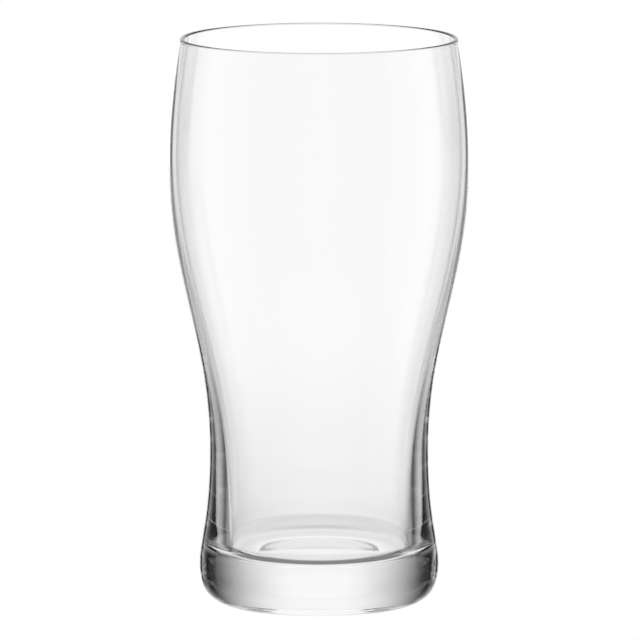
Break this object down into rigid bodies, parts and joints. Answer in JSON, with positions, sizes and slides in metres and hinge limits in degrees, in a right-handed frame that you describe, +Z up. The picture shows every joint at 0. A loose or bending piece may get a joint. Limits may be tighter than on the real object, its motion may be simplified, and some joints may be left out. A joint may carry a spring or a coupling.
{
  "type": "pint glass",
  "caption": "Clear beer glass with a full rounded bowl, a drawn-in waist and a thick solid base with a rounded foot.",
  "frame": {"origin": "middle of the plane that the glass stands on, on the glass's own axis", "axes": "+Z up along the glass's axis, from the foot to the rim. The glass is round, so +X and +Y have no preferred side"},
  "size_m": [0.087, 0.087, 0.165],
  "materials": {
    "clear_glass": "fire-polished clear soda-lime glass, smooth and colourless"
  },
  "bodies": {
    "root": {"glass_body": "clear_glass"}
  },
  "joints": []
}
